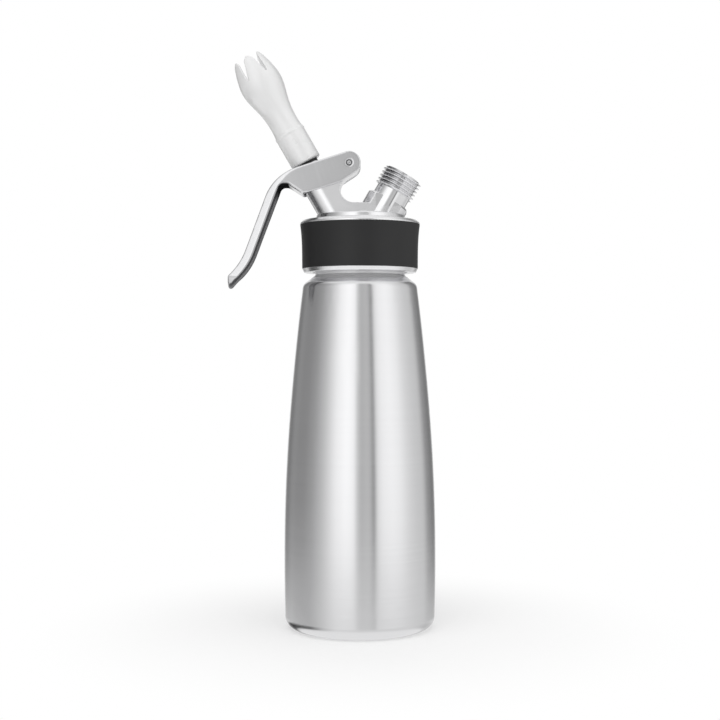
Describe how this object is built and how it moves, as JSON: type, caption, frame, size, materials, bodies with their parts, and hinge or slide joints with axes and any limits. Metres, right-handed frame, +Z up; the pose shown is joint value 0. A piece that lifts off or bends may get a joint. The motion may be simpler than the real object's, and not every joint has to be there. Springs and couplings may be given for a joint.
{
  "type": "whipped cream dispenser",
  "caption": "Steel cream whipper: brushed bottle, screwed head with black band, press lever, sprung valve with tulip tip, and a threaded gas charger boss.",
  "frame": {"origin": "centre of the bottle's foot, on the surface it stands on", "axes": "+Z up along the bottle, +X towards the charger boss and away from the lever, +Y across the lever"},
  "size_m": [0.1334, 0.0974, 0.3702],
  "materials": {
    "satin_steel": "satin, brushed",
    "polished_steel": "polished",
    "satin_cast_steel": "fine satin",
    "turned_steel": "turned",
    "spring_steel": "drawn wire",
    "black_silicone": "matte",
    "black_rubber": "matte",
    "white_silicone": "matte",
    "bush_plastic": "matte",
    "milky_plastic": "translucent, satin"
  },
  "bodies": {
    "bottle": {"bottle_shell": "satin_steel", "neck_ring": "turned_steel"},
    "mouth_seal": {"head_gasket": "white_silicone"},
    "head": {"head_body": "polished_steel", "heat_band": "black_silicone", "valve_seat": "turned_steel", "guide_bush": "bush_plastic", "return_spring": "spring_steel", "pin_holder": "turned_steel", "holder_seal": "black_rubber", "piercing_pin": "turned_steel", "charger_gasket": "black_rubber", "check_valve": "black_rubber"},
    "lever": {"lever": "satin_cast_steel", "lever_pin": "turned_steel"},
    "valve": {"valve_stem": "turned_steel", "stem_o_ring": "black_rubber", "valve_disc": "black_rubber", "disc_nut": "turned_steel", "tip_adapter": "turned_steel"},
    "washer": {"tip_seal": "black_rubber"},
    "tip": {"tip_insert": "turned_steel", "decorator_tip": "milky_plastic"}
  },
  "joints": [
    {"name": "head_lift", "type": "slide", "parent": "bottle", "child": "mouth_seal", "axis": [0, 0, 1], "range_m": [0, 0.0088]},
    {"name": "head_turn", "type": "hinge", "parent": "mouth_seal", "child": "head", "pos_m": [0, 0, 0.251], "axis": [0, 0, 1], "range_deg": [0, 900]},
    {"name": "lever_press", "type": "hinge", "parent": "head", "child": "lever", "pos_m": [-0.00694, 0, 0.29788], "axis": [0, -1, 0], "range_deg": [0, 10], "stiffness_Nm_per_rad": 1, "springref_deg": -8.59},
    {"name": "valve_slide", "type": "slide", "parent": "head", "child": "valve", "axis": [0.5, 0, -0.866], "range_m": [0, 0.0041], "stiffness_N_per_m": 1200, "springref_m": -0.005, "deforming": ["return_spring"]},
    {"name": "tip_lift", "type": "slide", "parent": "valve", "child": "washer", "axis": [-0.5, 0, 0.866], "range_m": [0, 0.0061]},
    {"name": "tip_turn", "type": "hinge", "parent": "washer", "child": "tip", "pos_m": [-0.03422, 0, 0.29894], "axis": [-0.5, 0, 0.866], "range_deg": [0, 1080]}
  ],
  "couplings": [
    {"joint": "head_lift", "follows": "head_turn", "m_per_rad": 0.00055704},
    {"joint": "valve_slide", "follows": "lever_press", "m_per_rad": 0.02349},
    {"joint": "tip_lift", "follows": "tip_turn", "m_per_rad": 0.00031831}
  ]
}
